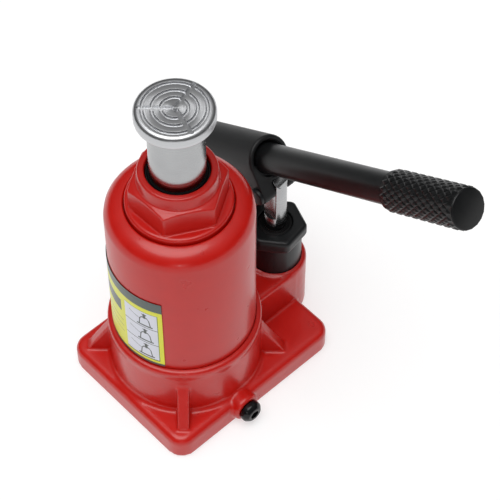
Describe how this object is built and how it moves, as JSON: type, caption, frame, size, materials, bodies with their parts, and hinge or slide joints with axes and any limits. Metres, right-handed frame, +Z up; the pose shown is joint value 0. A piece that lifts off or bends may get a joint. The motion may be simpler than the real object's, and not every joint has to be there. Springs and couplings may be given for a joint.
{
  "type": "hydraulic bottle jack",
  "caption": "Hydraulic bottle jack: upright oil tank on a cast base, extending ram with screw saddle, side pump worked by a knurled bar handle, release valve at the foot",
  "frame": {"origin": "middle of the base's underside, below the ram's axis", "axes": "+Z up along the ram; +X towards the operator, the side the release valve and the handle point to; +Y towards the pump"},
  "size_m": [0.1945, 0.1292, 0.2153],
  "materials": {
    "red_enamel": "glossy sprayed enamel on cast iron and drawn steel",
    "rubber": "matt nitrile rubber",
    "label_film": "printed vinyl film with a gloss laminate",
    "polyurethane": "amber cast polyurethane",
    "turned_steel": "lathe-turned bright steel with fine feed marks",
    "copper": "soft annealed copper washer",
    "hard_chrome": "ground and hard-chromed steel, satin sheen",
    "spring_steel": "drawn spring steel, lightly oiled",
    "black_oxide": "blackened machined steel, oiled",
    "black_paint": "satin black paint on steel",
    "knurled_black": "diamond-knurled steel, blackened",
    "bearing_steel": "polished bearing balls"
  },
  "bodies": {
    "jack_body": {"base_casting": "red_enamel", "reservoir_tank": "red_enamel", "tank_gasket": "rubber", "label": "label_film", "filler_plug": "rubber", "top_nut": "red_enamel", "top_nut_gasket": "rubber", "ram_wiper": "rubber", "ram_seal": "polyurethane", "hydraulic_cylinder": "turned_steel", "cylinder_gasket": "copper", "pump_barrel": "black_oxide", "barrel_gasket": "copper", "pump_wiper": "rubber", "link_foot_pin": "black_oxide", "link_foot_pin_clip": "spring_steel", "delivery_plug": "black_oxide", "pump_gallery_plug": "black_oxide", "suction_gallery_plug": "black_oxide", "delivery_spring": "spring_steel"},
    "ram": {"ram": "hard_chrome", "piston_seal": "polyurethane", "piston_retainer": "spring_steel"},
    "screw_stop": {"screw_stop_ring": "spring_steel"},
    "saddle": {"saddle_screw": "turned_steel"},
    "plunger": {"pump_plunger": "hard_chrome", "plunger_seal": "rubber"},
    "socket": {"handle_socket": "black_paint", "plunger_pin": "black_oxide", "plunger_pin_clip": "spring_steel", "fulcrum_pin": "black_oxide", "fulcrum_pin_clip": "spring_steel"},
    "handle": {"handle_rod": "black_paint", "handle_grip": "knurled_black"},
    "link": {"fulcrum_link": "black_paint"},
    "release_ball": {"release_ball": "bearing_steel"},
    "release": {"release_screw": "black_oxide", "release_seal": "rubber"},
    "suction_ball": {"suction_ball": "bearing_steel"},
    "delivery_ball": {"delivery_ball": "bearing_steel"}
  },
  "joints": [
    {"name": "ram_lift", "type": "slide", "parent": "jack_body", "child": "ram", "axis": [0, 0, 1], "range_m": [-0.036, 0.074]},
    {"name": "screw_rise", "type": "slide", "parent": "ram", "child": "screw_stop", "axis": [0, 0, 1], "range_m": [0, 0.05]},
    {"name": "saddle_turn", "type": "hinge", "parent": "screw_stop", "child": "saddle", "pos_m": [0, 0, 0.2153], "axis": [0, 0, 1], "range_deg": [0, 6000]},
    {"name": "plunger_stroke", "type": "slide", "parent": "jack_body", "child": "plunger", "axis": [0, 0, 1], "range_m": [-0.018, 0.005]},
    {"name": "handle_pump", "type": "hinge", "parent": "plunger", "child": "socket", "pos_m": [0, 0.0663, 0.10179], "axis": [0, -1, 0], "range_deg": [-38, 10]},
    {"name": "handle_draw", "type": "slide", "parent": "socket", "child": "handle", "axis": [0.8499, 0, 0.527], "range_m": [0, 0.06]},
    {"name": "link_swing", "type": "hinge", "parent": "jack_body", "child": "link", "pos_m": [-0.0238, 0.0663, 0.0495], "axis": [0, 1, 0], "range_deg": [-8.6, 2.4]},
    {"name": "ball_travel", "type": "slide", "parent": "jack_body", "child": "release_ball", "axis": [1, 0, 0], "range_m": [0, 0.0019]},
    {"name": "release_turn", "type": "hinge", "parent": "release_ball", "child": "release", "pos_m": [0.04, 0, 0.009], "axis": [1, 0, 0], "range_deg": [0, 540]},
    {"name": "suction_lift", "type": "slide", "parent": "jack_body", "child": "suction_ball", "axis": [0, 0, 1], "range_m": [0, 0.0006]},
    {"name": "delivery_lift", "type": "slide", "parent": "jack_body", "child": "delivery_ball", "axis": [0, 0, -1], "range_m": [0, 0.0012], "stiffness_N_per_m": 200, "springref_m": -0.001, "deforming": ["delivery_spring"]}
  ],
  "couplings": [
    {"joint": "saddle_turn", "follows": "screw_rise", "rad_per_m": 2094.4},
    {"joint": "plunger_stroke", "follows": "handle_pump", "m_per_rad": 0.0262},
    {"joint": "link_swing", "follows": "handle_pump", "ratio": 0.22},
    {"joint": "ball_travel", "follows": "release_turn", "m_per_rad": 0.00019894}
  ]
}
